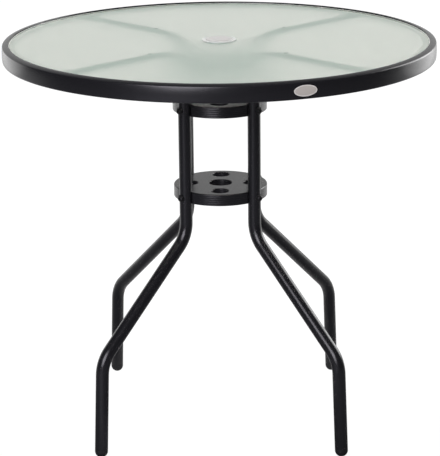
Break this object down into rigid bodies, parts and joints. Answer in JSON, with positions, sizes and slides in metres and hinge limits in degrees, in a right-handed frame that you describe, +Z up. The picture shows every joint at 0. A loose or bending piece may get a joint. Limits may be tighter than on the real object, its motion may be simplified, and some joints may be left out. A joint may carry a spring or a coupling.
{
  "type": "umbrella table",
  "caption": "Round patio table: frosted glass top in a steel rim, umbrella pole hole with a lift-out cap, bent tube legs bolted to pressed hubs.",
  "frame": {"origin": "centre of the footprint of the four feet, on the floor", "axes": "+Z up, -Y towards the picture's viewer, legs on the diagonals"},
  "size_m": [0.7998, 0.7998, 0.7398],
  "materials": {
    "black_paint": "black powder coat, satin",
    "black_fastener": "black coated steel",
    "zinc_fastener": "zinc plated steel",
    "black_plastic": "matt moulded plastic",
    "frosted_glass": "tempered, frosted on the underside, slightly green",
    "edge_strip": "translucent grey soft vinyl",
    "clear_bumper": "clear soft plastic",
    "clear_plastic": "translucent white, moulded"
  },
  "bodies": {
    "table": {"table_rim": "black_paint", "glass_support_ring": "black_paint", "rim_brackets": "black_paint", "glass_edge_strip": "edge_strip", "glass_top": "frosted_glass", "arm_bumpers": "clear_bumper", "rim_bolts": "black_fastener", "rim_washers": "black_fastener", "rim_nuts": "zinc_fastener", "umbrella_hole_ring": "clear_plastic", "leg_rear_right": "black_paint", "foot_plug_rear_right": "black_plastic", "leg_rear_left": "black_paint", "foot_plug_rear_left": "black_plastic", "leg_front_left": "black_paint", "foot_plug_front_left": "black_plastic", "leg_front_right": "black_paint", "foot_plug_front_right": "black_plastic", "upper_hub": "black_paint", "upper_hub_bolts": "black_fastener", "upper_hub_saddle_washers": "black_plastic", "upper_hub_nuts": "zinc_fastener", "lower_hub": "black_paint", "lower_hub_bolts": "black_fastener", "lower_hub_saddle_washers": "black_plastic", "lower_hub_nuts": "zinc_fastener"},
    "hole_cap": {"umbrella_hole_cap": "clear_plastic"}
  },
  "joints": [
    {"name": "cap_lift", "type": "slide", "parent": "table", "child": "hole_cap", "axis": [0, 0, 1], "range_m": [0, 0.06]}
  ]
}
